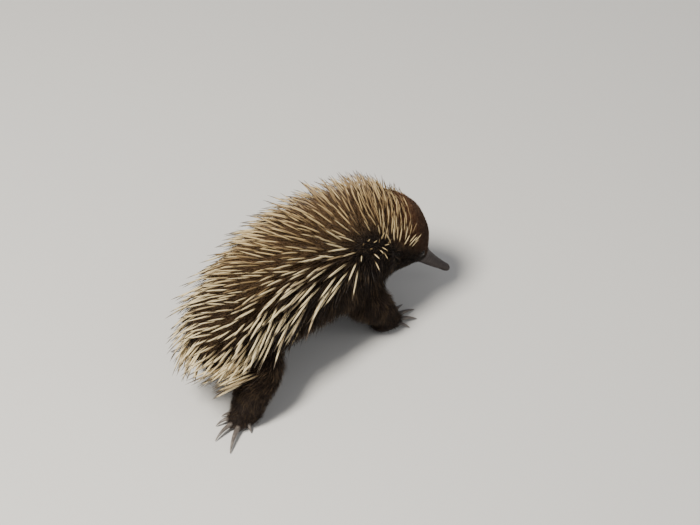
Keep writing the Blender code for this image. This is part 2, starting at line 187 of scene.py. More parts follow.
COLOURS = {
    "back_fur": (0.138, 0.078, 0.034),
    "flank_fur": (0.025, 0.0150, 0.009),
    "leg_fur": (0.023, 0.0130, 0.008),
    "face_fur": (0.135, 0.058, 0.027),
    "cheek_fur": (0.016, 0.0105, 0.008),
    "belly_fur": (0.040, 0.024, 0.015),
    "fur_root": (0.008, 0.005, 0.004),
    "fur_tip": (0.36, 0.24, 0.13),
    "beak": (0.046, 0.035, 0.033),
    "foot": (0.046, 0.035, 0.032),
    "eyelid": (0.022, 0.016, 0.014),
    "deep_skin": (0.008, 0.0055, 0.004),
    "scuffed_skin": (0.120, 0.100, 0.092),
    "pore": (0.018, 0.014, 0.014),
    "cream": (0.82, 0.68, 0.40),
    "tan": (0.52, 0.37, 0.17),
    "quill_streak": (0.50, 0.36, 0.18),
    # The quills' root colour is painted shade, where they stand among the fur and other quills
    "quill_root_painted_shade": (0.085, 0.044, 0.020),
    "quill_tip": (0.035, 0.020, 0.013),
    "bristle": (0.020, 0.013, 0.009),
    "bristle_root": (0.010, 0.007, 0.005),
    "claw": (0.125, 0.105, 0.090),
    "claw_line": (0.055, 0.045, 0.040),
    "claw_scuff": (0.26, 0.22, 0.18),
    "eye": (0.003, 0.0025, 0.002),
    "eye_haze": (0.009, 0.006, 0.004),
    "floor": (0.66, 0.64, 0.60),
    "floor_grain": (0.6204, 0.6016, 0.564),
}


def length_property(name, description, default, low, high):
    """A length that a user can change."""
    return bpy.props.FloatProperty(
        name=name, description=description, default=default, min=low, max=high,
        subtype="DISTANCE", unit="LENGTH",
    )


def colour_property(name, description, key):
    """A colour that a user can change, by its name in COLOURS."""
    return bpy.props.FloatVectorProperty(
        name=name, description=description, default=COLOURS[key], size=3, min=0, max=1,
        subtype="COLOR",
    )


class EchidnaSizes(bpy.types.PropertyGroup):
    """Sizes that change how the coat and the skin are made."""

    skin_step: length_property("Skin step", "Edge length of the skin's faces", 0.0022, 0.001, 0.01)
    quill_spacing: length_property(
        "Quill spacing", "Least distance between the roots of two quills", 0.0073, 0.002, 0.02
    )
    quill_gauge: length_property(
        "Quill gauge", "Thickness of a flank quill at its widest", 0.0029, 0.001, 0.006
    )
    bristle_spacing: length_property(
        "Bristle spacing", "Least distance between two dark bristles", 0.0040, 0.002, 0.02
    )
    hair_gauge: length_property(
        "Hair gauge", "Thickness of a hair of the fur at its root", 0.00062, 0.0002, 0.002
    )
    fur_spacing: length_property(
        "Fur spacing", "Least distance between two tufts under the quills", 0.0022, 0.001, 0.02
    )
    eye_opening: length_property(
        "Eye opening", "Length of the opening between the eyelids", 0.0058, 0.002, 0.007
    )


class EchidnaColours(bpy.types.PropertyGroup):
    """Colours that a user would change first."""

    cream: colour_property("Quill cream", "Colour of the middle of the flank quills", "cream")
    tan: colour_property("Quill tan", "Colour of the middle of the quills on the back", "tan")
    beak: colour_property("Beak", "Colour of the bare skin of the beak", "beak")


def pick(sockets, key):
    """A socket by its name or its place, of those that the node's settings leave in use."""
    used = [s for s in sockets if s.enabled]
    return used[key] if isinstance(key, int) else next(s for s in used if s.name == key)


class Socket:
    """A number from a node. Arithmetic on it adds Math nodes."""

    def __init__(self, graph, socket):
        self.graph = graph
        self.socket = socket

    def math(self, operation, *values):
        return self.graph.add("ShaderNodeMath", {"operation": operation}, dict(enumerate(values)))

    def __add__(self, other):
        return self.math("ADD", self, other)

    def __radd__(self, other):
        return self.math("ADD", other, self)

    def __sub__(self, other):
        return self.math("SUBTRACT", self, other)

    def __rsub__(self, other):
        return self.math("SUBTRACT", other, self)

    def __mul__(self, other):
        return self.math("MULTIPLY", self, other)

    def __rmul__(self, other):
        return self.math("MULTIPLY", other, self)

    def __pow__(self, other):
        return self.math("POWER", self, other)


class Graph:
    """Adds nodes to one tree, whether of a material or of geometry."""

    def __init__(self, tree):
        self.tree = tree

    def join(self, value, socket):
        """Links a socket to another, or sets its value."""
        if isinstance(value, Socket):
            self.tree.links.new(value.socket, socket)
        else:
            socket.default_value = value

    def node(self, kind, settings=None, sockets=None):
        """Any node: its type, its settings, then the values or links of its sockets."""
        made = self.tree.nodes.new(kind)
        for name, value in (settings or {}).items():
            setattr(made, name, value)
        for key, value in (sockets or {}).items():
            self.join(value, pick(made.inputs, key))
        return made

    def add(self, kind, settings=None, sockets=None, output=0):
        """One output of a new node."""
        return Socket(self, pick(self.node(kind, settings, sockets).outputs, output))

    def vector(self, operation, first, second):
        return self.add("ShaderNodeVectorMath", {"operation": operation}, {0: first, 1: second})

    def mix(self, factor, first, second):
        """Colours mixed, each a link, a colour or a name in COLOURS."""
        ends = [COLOURS[end] if isinstance(end, str) else end for end in (first, second)]
        ends = [(*end, 1) if isinstance(end, tuple) else end for end in ends]
        sockets = {"Factor": factor, "A": ends[0], "B": ends[1]}
        return self.add("ShaderNodeMix", {"data_type": "RGBA"}, sockets)

    def between(self, value, low, high):
        """0 below low, 1 above high, and smooth in between."""
        settings = {"interpolation_type": "SMOOTHSTEP"}
        return self.add("ShaderNodeMapRange", settings, {0: value, 1: low, 2: high})

    def noise(self, where, scale, detail, output="Fac"):
        sockets = {0: where, "Scale": scale, "Detail": detail}
        return self.add("ShaderNodeTexNoise", {}, sockets, output)


class Material(Graph):
    """A new material with one Principled shader."""

    def __init__(self, name):
        self.made = bpy.data.materials.new(name)
        self.made.use_nodes = True
        super().__init__(self.made.node_tree)
        self.shader = self.tree.nodes["Principled BSDF"]
        self.place = self.add("ShaderNodeTexCoord", output="Object")

    def set(self, **values):
        for name, value in values.items():
            self.join(value, self.shader.inputs[name.replace("_", " ")])

    def attribute(self, name, output="Fac"):
        return self.add("ShaderNodeAttribute", {"attribute_name": name}, output=output)

    def bump(self, height, distance, strength):
        sockets = {"Height": height, "Distance": distance, "Strength": strength}
        self.set(Normal=self.add("ShaderNodeBump", {}, sockets))


def skin_material():
    """Skin under the coat takes the coat's own pigment. Beak and feet are bare and wrinkled."""
    m = Material("echidna_skin")
    bare = m.attribute("bare")
    patches = m.noise(m.place, 260, 4)
    pores = m.noise(m.place, 1900, 3)
    shade = m.mix(patches * 0.5 + 0.28, m.attribute("pigment", "Color"), "deep_skin")
    scuffs = m.between(m.noise(m.place, 420, 5), 0.52, 0.74)
    worn = m.mix(scuffs * 0.22, m.attribute("bare_colour", "Color"), "scuffed_skin")
    worn = m.mix(m.between(pores, 0.50, 0.30) * 0.5, worn, "pore")
    m.set(Base_Color=m.mix(bare, shade, worn), Specular_IOR_Level=0.3)
    m.set(Roughness=0.85 - bare * (0.40 - patches * 0.22))
    settings = {"feature": "DISTANCE_TO_EDGE"}
    cells = m.add("ShaderNodeTexVoronoi", settings, {0: m.place, "Scale": 2100})
    wrinkles = m.between(cells, 0.0, 0.22) * m.between(patches, 0.35, 0.6)
    m.bump(bare * wrinkles * 0.35 + pores * 0.5 + patches * 0.7, 0.00020, 0.8)
    return m.made


def quill_material(colours):
    """Dark at the root with painted shade, where the quill stands among the fur and other quills;
    cream or tan in the middle, blackish brown at the point.
    """
    m = Material("echidna_quill")
    along, tone, warmth = m.attribute("along"), m.attribute("tone"), m.attribute("warmth")
    tanned = m.between(warmth + tone * 0.5 - 0.25, 0.15, 0.95)
    middle = m.mix(tanned, tuple(colours.cream), tuple(colours.tan))
    browned = m.between(tone + warmth * 0.30, 0.75, 1.05)
    middle = m.mix(browned * 0.8, middle, "back_fur")
    streaks = m.noise(m.place, 900, 2)
    middle = m.mix(streaks * 0.30, middle, "quill_streak")
    # Painted shade: the root is mixed towards dark brown, where the quill stands deep in the coat
    body = m.mix(m.between(along + tone * 0.14, 0.12, 0.32), "quill_root_painted_shade", middle)
    pointed = m.between(along + tone * 0.12, 0.78, 0.92)
    m.set(Base_Color=m.mix(pointed * 0.92, body, "quill_tip"))
    m.set(Roughness=0.42, Specular_IOR_Level=0.4)
    m.bump(streaks, 0.00010, 0.5)
    return m.made


def bristle_material():
    """Stiff hair, blackish brown at the root and the tip and brown between on the back."""
    m = Material("echidna_bristle")
    along = m.attribute("along")
    middle = m.mix(m.attribute("tone") * 0.8, m.attribute("pigment", "Color"), "bristle")
    body = m.mix(m.between(along, 0.05, 0.45), "bristle_root", middle)
    m.set(Base_Color=m.mix(m.between(along, 0.75, 1.0), body, "quill_tip"), Roughness=0.45)
    return m.made


def fur_material():
    """Hair in the coat's pigment, darker at the root and paler at the tip."""
    m = Material("echidna_fur")
    along = m.attribute("along")
    rooted = m.between(along, 0.65, 0.0)
    dark = m.mix(rooted * 0.55, m.attribute("pigment", "Color"), "fur_root")
    pale = m.mix(m.between(m.attribute("tone"), 0.55, 1.0) * 0.45 * along, dark, "fur_tip")
    m.set(Base_Color=pale, Roughness=0.60, Specular_IOR_Level=0.24)
    return m.made


def claw_material():
    """Grey-brown horn with fine growth lines, scuffed towards the point."""
    m = Material("echidna_claw")
    lines = m.noise(m.place, 700, 3)
    scuffs = m.between(m.noise(m.place, 240, 4), 0.45, 0.72)
    colour = m.mix(scuffs * 0.5, m.mix(lines * 0.6, "claw", "claw_line"), "claw_scuff")
    m.set(Base_Color=colour, Roughness=0.34 + scuffs * 0.3)
    m.bump(lines, 0.00015, 0.7)
    return m.made


def eye_material():
    """A wet black bead with a faint brown haze."""
    m = Material("echidna_eye")
    colour = m.mix(m.noise(m.place, 500, 2), "eye", "eye_haze")
    m.set(Base_Color=colour, Roughness=0.10, Specular_IOR_Level=0.35)
    return m.made


def floor_material():
    """Plain and pale, with a faint grain."""
    m = Material("pale_floor")
    colour = m.mix(m.noise(m.place, 60, 4) * 0.25, "floor", "floor_grain")
    m.set(Base_Color=colour, Roughness=0.85)
    return m.made


def smooth(value, low, high):
    """0 at low, 1 at high and past it, and smooth in between."""
    t = np.clip((value - low) / (high - low), 0, 1)
    return t * t * (3 - 2 * t)


def unit(vectors):
    """Each vector at a length of 1."""
    return vectors / np.linalg.norm(vectors, axis=-1, keepdims=True)


def middle_stretches():
    """The middle line's stretches: start along it, radius, centre of the bend and turn there."""
    place, turn, start = np.array(MIDDLE_START), 0.0, 0.0
    stretches = []
    for end, radius in BENDS:
        centre = place + radius * np.array((-math.sin(turn), -math.cos(turn)))
        stretches.append((start, radius, centre, turn))
        turn += (end - start) / radius
        place = centre + radius * np.array((math.sin(turn), math.cos(turn)))
        start = end
    return stretches


def straightened(points):
    """Points as if the body were straight: along, out to the left, up, and the turn there."""
    found = np.zeros((len(points), 4))
    found[:, 2] = points[:, 2]
    for start, radius, centre, turn in middle_stretches():
        offset = points[:, :2] - centre
        angle = np.arctan2(offset[:, 0], offset[:, 1])
        along = start + (angle - turn) * radius
        here = (along >= start) if start else np.ones(len(points), bool)
        found[here, 0] = along[here]
        found[here, 1] = np.hypot(offset[here, 0], offset[here, 1]) - radius
        found[here, 3] = angle[here]
    return found


def bent(along, left, up):
    """Points of the straight body where the bent body has them."""
    found = np.stack([along, left, up], axis=1)
    for start, radius, centre, turn in middle_stretches():
        here = (along >= start) if start else np.ones(len(along), bool)
        angle = turn + (along[here] - start) / radius
        reach = radius + left[here]
        found[here, 0] = centre[0] + reach * np.sin(angle)
        found[here, 1] = centre[1] + reach * np.cos(angle)
    return found


class Places:
    """Where points lie on the body: along it, down from the top of the back, and its directions."""

    def __init__(self, points):
        self.points = points
        self.along, self.left, self.up, turn = straightened(points).T
        self.height = np.interp(self.along, AXIS_ALONG, AXIS_HEIGHT)
        self.down = np.degrees(np.arctan2(-self.left, self.up - self.height))
        self.off_top = np.abs(self.down)
        step = 0.004
        rise = np.interp(self.along + step, AXIS_ALONG, AXIS_HEIGHT) - self.height
        self.ahead = unit(np.stack([np.cos(turn), -np.sin(turn), rise / step], axis=1))
        leftwards = np.stack([np.sin(turn), np.cos(turn), np.zeros(len(points))], axis=1)
        swing = np.radians(self.down)[:, None]
        upwards = np.cross(self.ahead, leftwards)
        self.over = np.cos(swing) * leftwards + np.sin(swing) * upwards
        around = (self.off_top - WHORL_DOWN) * FAN_PER_DEGREE
        self.whorl = np.hypot(self.along - WHORL_ALONG, around)
        self.edge = np.interp(self.along, EDGE_ALONG, EDGE_DOWN)


def gathered(items, key, width=3, kind=float):
    """One row for each item of a mesh."""
    flat = np.zeros(len(items) * width, kind)
    items.foreach_get(key, flat)
    return flat.reshape(-1, width)


def mesh_points(mesh):
    return gathered(mesh.vertices, "co")


def mesh_normals(mesh):
    return gathered(mesh.vertex_normals, "vector")


def mesh_edges(mesh):
    return gathered(mesh.edges, "vertices", 2, np.int64)


def set_points(mesh, points):
    mesh.vertices.foreach_set("co", points.astype(np.float32).ravel())
    mesh.update()


def spread(values, edges, rounds, share=0.5):
    """Values at vertices, mixed that many times with the mean of their neighbours'."""
    count = len(values)
    neighbours = np.bincount(edges.ravel(), minlength=count)[:, None]
    values = values.reshape(count, -1)
    for _ in range(rounds):
        sums = np.zeros_like(values)
        for here, there in ((0, 1), (1, 0)):
            for column in range(values.shape[1]):
                weights = values[edges[:, there], column]
                sums[:, column] += np.bincount(edges[:, here], weights, count)
        values = values + share * (sums / neighbours - values)
    return values


def link(data, name):
    """An object in the scene that holds a mesh, camera or light."""
    made = bpy.data.objects.new(name, data)
    bpy.context.scene.collection.objects.link(made)
    return made


def evaluated(holder):
    """The object's mesh with its modifiers applied, and the object taken away."""
    graph = bpy.context.evaluated_depsgraph_get()
    mesh = bpy.data.meshes.new_from_object(
        holder.evaluated_get(graph), preserve_all_data_layers=True, depsgraph=graph
    )
    bpy.data.objects.remove(holder)
    return mesh


def remeshed(mesh, step):
    """The mesh made again from even faces, closed."""
    holder = link(mesh, "remeshed")
    modifier = holder.modifiers.new("even", "REMESH")
    modifier.mode = "VOXEL"
    modifier.voxel_size = step
    modifier.use_smooth_shade = True
    return evaluated(holder)


class Flesh:
    """The CAD nodes of flesh as one mesh, swollen until they overlap, and which is nearest."""

    def __init__(self):
        joined = bmesh.new()
        self.node_of_face = []
        for place, node in enumerate(FLESH):
            copy = bmesh.new()
            copy.from_mesh(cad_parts[node].data)
            bmesh.ops.remove_doubles(copy, verts=copy.verts, dist=MERGE_WITHIN)
            copy.normal_update()
            for vertex in copy.verts:
                vertex.co += vertex.normal * SWELL
            part = bpy.data.meshes.new(node)
            copy.to_mesh(part)
            copy.free()
            self.node_of_face += [place] * len(part.polygons)
            joined.from_mesh(part)
        self.mesh = bpy.data.meshes.new("flesh")
        joined.to_mesh(self.mesh)
        self.tree = BVHTree.FromBMesh(joined)
        joined.free()

    def nearest(self, points):
        """The place in FLESH of the node nearest to each point."""
        faces = [self.tree.find_nearest(Vector(p))[2] for p in points]
        return np.array([self.node_of_face[face] for face in faces])


def among(labels, names):
    """Whether each label is the place in FLESH of one of the names."""
    return np.isin(labels, [FLESH.index(name) for name in names])


def on_body(labels):
    """Whether each label is a part of the trunk, neck, head or tail."""
    return among(labels, BODY + TAIL)


def with_parts(values, labels, parts):
    """The values, with another one on each of the named parts."""
    for names, value in parts:
        values = np.where(among(labels, names), value, values)
    return values


def coat_depth(places, labels):
    """How far the skin lies inside the CAD surface."""
    depth = np.interp(places.along, DEPTH_ALONG, DEPTH_THERE)
    depth = depth * np.interp(places.off_top, DEPTH_AROUND, DEPTH_SHARE)
    legs = 0.0015 + 0.0050 * smooth(places.points[:, 2], 0.024, 0.070)
    parts = ((LEGS, legs), (FEET, -0.0004), (TAIL, 0.0050), (BEAK, 0.0002))
    return with_parts(depth, labels, parts)


def drawn_in(flesh, mesh):
    """Moves the skin in from the tips of the coat, and the rump's end forward along the body."""
    points, edges = mesh_points(mesh), mesh_edges(mesh)
    labels, places = flesh.nearest(points), Places(points)
    normals = unit(spread(mesh_normals(mesh), edges, 10))
    depth = coat_depth(places, labels)
    beyond = np.minimum(places.along - RUMP_DRAWN_FROM, 0)
    along = places.along - np.where(on_body(labels), beyond * (1 - RUMP_DRAWN_TO), 0)
    moved = bent(along, places.left, places.up) - points
    points = points + spread(moved - normals * depth[:, None], edges, 22)
    softness = smooth(spread(depth[:, None], edges, 10), 0.003, 0.010)
    for _ in range(24):
        points += softness * 0.6 * (spread(points, edges, 1, 1.0) - points)
    set_points(mesh, points)


def divide_near(mesh, near, cuts=1):
    """Halves the faces whose every corner is near, or cuts them more."""
    edited = bmesh.new()
    edited.from_mesh(mesh)
    edited.verts.ensure_lookup_table()
    faces = [face for face in edited.faces if all(near[v.index] for v in face.verts)]
    edges = {edge for face in faces for edge in face.edges}
    bmesh.ops.subdivide_edges(edited, edges=list(edges), cuts=cuts, use_grid_fill=True)
    bmesh.ops.triangulate(edited, faces=[f for f in edited.faces if len(f.verts) > 4])
    edited.to_mesh(mesh)
    edited.free()


def node_middle(node):
    """The middle of a CAD node's box."""
    low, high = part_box(node)
    return (low + high) / 2


def eye_frames():
    """Each eye's middle, radius, and the directions out, ahead along the beak, and up."""
    for side in SIDES:
        low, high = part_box(f"eye_{side}")
        middle = np.array((low + high) / 2)
        place = Places(middle[None])
        axis = bent(place.along, np.zeros(1), place.height)[0]
        ahead = place.ahead[0]
        out = middle - axis
        out -= ahead * out.dot(ahead)
        out = unit(unit(out) + 0.30 * ahead)
        ahead = unit(ahead - out * ahead.dot(out))
        yield middle, (high - low).z / 2, out, ahead, np.cross(out, ahead)


def from_eyes(points):
    """How far each point is from the nearer eye's middle."""
    return np.min([np.linalg.norm(points - middle, axis=1) for middle, *_ in eye_frames()], axis=0)


def shape_eyelids(points, opening):
    """Raises lids around each eye over a low swelling, and sinks the skin behind the bead."""
    for middle, radius, out, ahead, upward in eye_frames():
        offset = points - middle
        height, x, y = offset @ out, offset @ ahead, offset @ upward
        near = (np.hypot(x, y) < 0.011) & (np.abs(height) < 0.008)
        reach = np.hypot(x, y)
        lid = radius + 0.0005
        dome = np.sqrt(np.maximum(lid**2 - reach**2, 0))
        ring = 0.00016 * np.cos(reach / 0.00075) * smooth(reach, 0.0075, 0.0045)
        swelling = 0.0011 * smooth(reach, 0.0095, 0.0035)
        raised = np.maximum(height + swelling, dome) + np.where(reach > 0.0034, ring, 0)
        almond = np.sqrt((x / (opening / 2)) ** 2 + (y / (opening * 0.37)) ** 2)
        behind = np.sqrt(np.maximum(radius**2 - reach**2, 0)) - 0.0011
        raised = raised + 0.0003 * smooth(almond, 1.5, 1.05)
        raised = behind + (raised - behind) * smooth(almond, 0.86, 1.10)
        points[near] += (out[None] * (raised - height)[:, None])[near]
    return points


def beak_directions():
    """The beak's tip, its direction ahead, and its own left and up directions."""
    height = np.interp(BEAK_ENDS, AXIS_ALONG, AXIS_HEIGHT)
    tip, root = bent(np.array(BEAK_ENDS), np.zeros(2), height)
    ahead = unit(tip - root)
    left = np.array((-ahead[1], ahead[0], 0)) / math.hypot(ahead[0], ahead[1])
    return tip, ahead, left, np.cross(ahead, left)


def shape_beak(points, normals):
    """Opens the nostrils near the tip, presses in the mouth's slit and wrinkles the root."""
    tip, ahead, left, upward = beak_directions()
    offset = points - tip
    back, side, rise = -(offset @ ahead), offset @ left, offset @ upward
    sink = np.zeros(len(points))
    for sign in (1, -1):
        away = np.hypot((back - 0.0052) / 0.0015, (side - sign * 0.0019) / 0.0008)
        pit = smooth(away, 1.0, 0.25) * (rise > 0)
        rim = smooth(away, 2.0, 1.2) * smooth(away, 0.9, 1.2) * (rise > 0)
        sink += 0.0012 * pit - 0.0003 * rim
    mouth = -0.0011 - 0.062 * back
    slit = smooth(np.abs(rise - mouth), 0.00062, 0.0001)
    sink += 0.0010 * slit * smooth(back, 0.027, 0.014) * (back > -0.002)
    crease = 0.5 + 0.5 * np.cos(back / 0.00055 + 1.2 * np.sin(side / 0.0016))
    sink += 0.00016 * crease * smooth(back, 0.028, 0.036) * smooth(back, 0.052, 0.044)
    return points - normals * (sink * (back < 0.058))[:, None]


def shape_ears(points, normals, tree):
    """A low curved fold stands behind each upright ear slit."""
    for side in SIDES:
        seat, outward, _, _ = tree.find_nearest(node_middle(f"ear_{side}"))
        seat, outward = np.array(seat), np.array(outward)
        place = Places(seat[None])
        ahead = unit(place.ahead[0] - outward * place.ahead[0].dot(outward))
        upward = np.cross(ahead, outward) * (1 if side == "right" else -1)
        upward *= np.sign(upward[2])
        offset = points - seat
        tall, wide, deep = offset @ upward, offset @ ahead, offset @ outward
        near = (np.abs(tall) < 0.013) & (np.abs(wide) < 0.010) & (np.abs(deep) < 0.009)
        whole = np.maximum(1 - (tall / 0.0115) ** 2, 0)
        fold = np.exp(-(((wide + 0.0030 * whole) / 0.0017) ** 2)) * np.sqrt(whole)
        slit = np.exp(-(((wide - 0.0012) / 0.0014) ** 2)) * smooth(np.abs(tall), 0.0085, 0.004)
        lift = 0.0062 * fold - 0.0042 * slit
        points[near] += (normals * lift[:, None])[near]
    return points


def lie_of(places, labels):
    """Which way the coat lies: it fans up and back from the whorl on the shoulder, goes straight
    back under the body, down the legs and out over the toes."""
    back = (WHORL_ALONG - places.along) / MM
    back = 0.5 * (back + np.sqrt(back**2 + WHORL_TURN**2))
    per_degree = FAN_PER_DEGREE / MM
    right = (WHORL_DOWN - places.down) * per_degree
    steeper = np.abs(right) / 20 * smooth(places.along, -0.105, -0.035)
    right = np.where(right < 0, right * (1 + steeper), right)
    left = (places.off_top - WHORL_DOWN) * per_degree
    left = np.where(left < 0, left * 0.25, left * (1 + steeper))
    over = right + (left - right) * smooth(-places.down, 12, 55)
    over = over * smooth(places.off_top, 150, 112)
    leaning = np.interp(places.off_top, LEAN_AROUND, LEAN_SHARE)
    over = over + back * leaning * smooth(places.along, -0.085, -0.150)
    headwards = smooth(places.along, 0.112, 0.146)
    folded = np.sin(2 * np.radians(places.off_top)) * np.where(places.down > 0, 2.0, -1.1)
    over = over + (folded * back - over) * headwards
    lie = places.over * over[:, None] - places.ahead * back[:, None]
    hanging = smooth(-places.down, 85, 110) * smooth(places.along, -0.085, -0.115)
    lie[:, 2] -= 0.25 * back * hanging
    lie = unit(lie)
    thigh = smooth(places.points[:, 2], 0.036, 0.048) * smooth(places.along, -0.095, -0.110)
    legs = among(labels, LEGS) * (1 - thigh)
    downwards = np.array((0, 0, -1.0)) - places.ahead * 0.35
    lie = lie + (downwards - lie) * legs[:, None]
    brushed = smooth(places.down, 92, 108) * smooth(places.along, -0.112, -0.128) * (1 - legs)
    lie = lie + (np.array(BRUSHED) - lie) * brushed[:, None]
    for foot in FEET:
        here = among(labels, (foot,))
        outward = places.points[here] - np.array(node_middle(foot))
        outward[:, 2] = -0.3 * np.linalg.norm(outward[:, :2], axis=1)
        lie[here] = outward
    return unit(lie)


def quill_sizes(places):
    """Length, thickness share, angle off the skin and tan share of the quills at each place."""
    top = smooth(places.off_top, 75, 20)
    heart = smooth(places.whorl, 0.042, 0.012)
    length = np.interp(places.along, QUILL_ALONG, QUILL_LENGTH)
    length *= 1 - 0.18 * top
    length *= 1 + 0.10 * smooth(places.off_top, 45, 65) * smooth(places.along, -0.13, -0.08)
    length *= 1 + 0.30 * smooth(places.down, 92, 108) * smooth(places.along, -0.112, -0.128)
    length *= 1 - 0.64 * heart
    gauge = np.interp(places.along, GAUGE_ALONG, GAUGE_SHARE)
    gauge *= (1 - 0.24 * top) * (1 - 0.40 * smooth(places.whorl, 0.050, 0.015))
    lift = np.interp(places.off_top, LIFT_AROUND, LIFT_DEGREES)
    lift += 8 * smooth(places.along, -0.01, 0.05) * smooth(places.along, 0.150, 0.12) * top
    lift += (22 - lift) * smooth(places.along, 0.118, 0.150)
    lift += (70 - lift) * heart
    warmth = 0.9 * top * smooth(places.along, -0.16, -0.02) * smooth(places.off_top, 70, 25)
    warmth += 0.55 * smooth(places.along, 0.03, 0.09)
    return length, gauge, lift, warmth


def quill_share(places, labels):
    """How much of the skin at each place has its full quills."""
    share = smooth(places.off_top, places.edge + 4, places.edge - 5)
    share = np.maximum(share, smooth(places.whorl, 0.022, 0.014))
    share *= smooth(places.along, 0.163, 0.154)
    share *= 1 - 0.25 * smooth(places.off_top, 40, 70) * smooth(places.along, 0.08, 0.05)
    thigh = smooth(places.points[:, 2], QUILLED_LEG_HEIGHT, QUILLED_LEG_HEIGHT + 0.006)
    thigh *= smooth(places.along, -0.120, -0.128)
    return with_parts(share, labels, ((LEGS, share * thigh), (FEET + BEAK, 0)))


def bristle_share(places, labels):
    """How much of the skin at each place has its full bristles."""
    share = smooth(places.off_top, places.edge + 14, places.edge - 2)
    return np.where(on_body(labels), share * smooth(places.along, 0.138, 0.118), 0)


def fur_sizes(places, labels):
    """Length and angle off the skin of the fur at each place."""
    body = np.interp(places.along, FUR_ALONG, FUR_LENGTH)
    body *= 1 - 0.30 * smooth(places.off_top, 110, 150)
    body *= 1 - 0.42 * quill_share(places, labels)
    legs = 0.0075 + 0.0085 * smooth(places.points[:, 2], 0.022, 0.060)
    length = with_parts(body, labels, ((LEGS, legs), (FEET, 0.0055), (TAIL, 0.013)))
    lift = 24 - 11 * smooth(places.along, 0.10, 0.15)
    return length, np.where(among(labels, LEGS + FEET), 15, lift)


def pigment_of(places, labels):
    """The coat's colour at each place, the same for skin and fur."""
    top = smooth(places.off_top, 78, 30)
    face = smooth(places.along, 0.118, 0.146)
    cheek = smooth(places.along, 0.10, 0.125) * smooth(places.off_top, 42, 76)
    marks = (
        ("back_fur", top * (1 - 0.45 * smooth(places.along, -0.06, -0.12))),
        ("cheek_fur", smooth(places.whorl, 0.055, 0.020)),
        ("belly_fur", smooth(places.off_top, 105, 140)),
        ("face_fur", face * smooth(places.off_top, 96, 48)),
        ("cheek_fur", cheek),
        ("cheek_fur", smooth(places.along, 0.156, 0.172) * 0.5),
        ("leg_fur", among(labels, LEGS + FEET + TAIL)),
    )
    colour = np.array(COLOURS["flank_fur"])[None]
    for name, share in marks:
        colour = colour + (np.array(COLOURS[name]) - colour) * share[:, None]
    return colour


def bareness(places, labels):
    """1 on the bare skin of the beak, around the eyes and on the feet."""
    tip, ahead, _, _ = beak_directions()
    bare = smooth((tip - places.points) @ ahead, 0.0580, 0.0510) * ~among(labels, FEET + LEGS)
    bare = np.maximum(bare, among(labels, FEET) * smooth(places.points[:, 2], 0.009, 0.003))
    return np.maximum(bare, smooth(from_eyes(places.points), 0.0062, 0.0040))


def bare_colour(labels):
    """The colour of bare skin at each place."""
    colour = np.array(bpy.context.scene.echidna_colours.beak)[None]
    parts = ((FEET + LEGS, "foot"), (BODY, "eyelid"))
    for names, name in parts:
        colour = np.where(among(labels, names)[:, None], np.array(COLOURS[name]), colour)
    return colour


def store(mesh, name, values):
    """A value, or a vector, for each of the mesh's vertices."""
    single = values.ndim == 1
    attribute = mesh.attributes.new(name, "FLOAT" if single else "FLOAT_VECTOR", "POINT")
    flat = values.astype(np.float32).ravel()
    attribute.data.foreach_set("value" if single else "vector", flat)


def mark_skin(mesh, labels, places):
    """Stores on the skin's vertices what the coat and the materials read."""
    edges = mesh_edges(mesh)
    quill_length, gauge, quill_lift, warmth = quill_sizes(places)
    fur_length, fur_lift = fur_sizes(places, labels)
    bare = bareness(places, labels)
    fur_share = 1 - smooth(bare, 0.35, 0.95)
    on_sole = places.points[:, 2] < SOLE_BELOW
    softened = {
        "quill_length": quill_length,
        "quill_gauge": gauge,
        "quill_lift": np.radians(quill_lift),
        "quill_share": quill_share(places, labels),
        "bristle_share": bristle_share(places, labels),
        "bristle_length": quill_length * BRISTLE_LENGTH_SHARE,
        "warmth": warmth,
        "fur_length": fur_length,
        "fur_lift": np.radians(fur_lift),
        "fur_gauge": np.interp(fur_length, HAIR_LENGTH, HAIR_GAUGE),
    }
    for name, values in softened.items():
        store(mesh, name, spread(values.astype(float), edges, 4)[:, 0])
    store(mesh, "fur_share", np.where(on_sole, 0, fur_share))
    store(mesh, "bare", bare)
    store(mesh, "lie", spread(lie_of(places, labels), edges, 14))
    store(mesh, "pigment", spread(pigment_of(places, labels), edges, 8))
    store(mesh, "bare_colour", spread(bare_colour(labels), edges, 6))


class Skin:
    """The finished skin, kept for the coat's operators."""

    made = None
    labels = None
    places = None


def make_skin(sizes):
    """One closed skin over all the nodes of flesh, finest around the eyes and on the beak."""
    flesh = Flesh()
    mesh = remeshed(flesh.mesh, FIRST_STEP)
    drawn_in(flesh, mesh)
    mesh = remeshed(mesh, sizes.skin_step)
    points = spread(mesh_points(mesh), mesh_edges(mesh), 2)
    set_points(mesh, points)
    divide_near(mesh, (Places(points).along > FINE_FROM) | (points[:, 2] < FINE_BELOW))
    divide_near(mesh, Places(mesh_points(mesh)).along > FINEST_FROM)
    divide_near(mesh, from_eyes(mesh_points(mesh)) < FINE_EYE_REACH, 4)
    points = spread(mesh_points(mesh), mesh_edges(mesh), 3)
    set_points(mesh, points)
    tree = BVHTree.FromPolygons(points.tolist(), [tuple(p.vertices) for p in mesh.polygons])
    points = shape_ears(points, mesh_normals(mesh), tree)
    points = shape_beak(points, mesh_normals(mesh))
    points = shape_eyelids(points, sizes.eye_opening)
    points[:, 2] = np.maximum(points[:, 2], 0)
    set_points(mesh, points)
    mesh.shade_smooth()
    points = mesh_points(mesh)
    Skin.labels, Skin.places = flesh.nearest(points), Places(points)
    mark_skin(mesh, Skin.labels, Skin.places)
    mesh.materials.clear()
    mesh.materials.append(skin_material())
    Skin.made = link(mesh, "skin")
    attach(Skin.made, "root")
    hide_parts(*FLESH, *EARS)


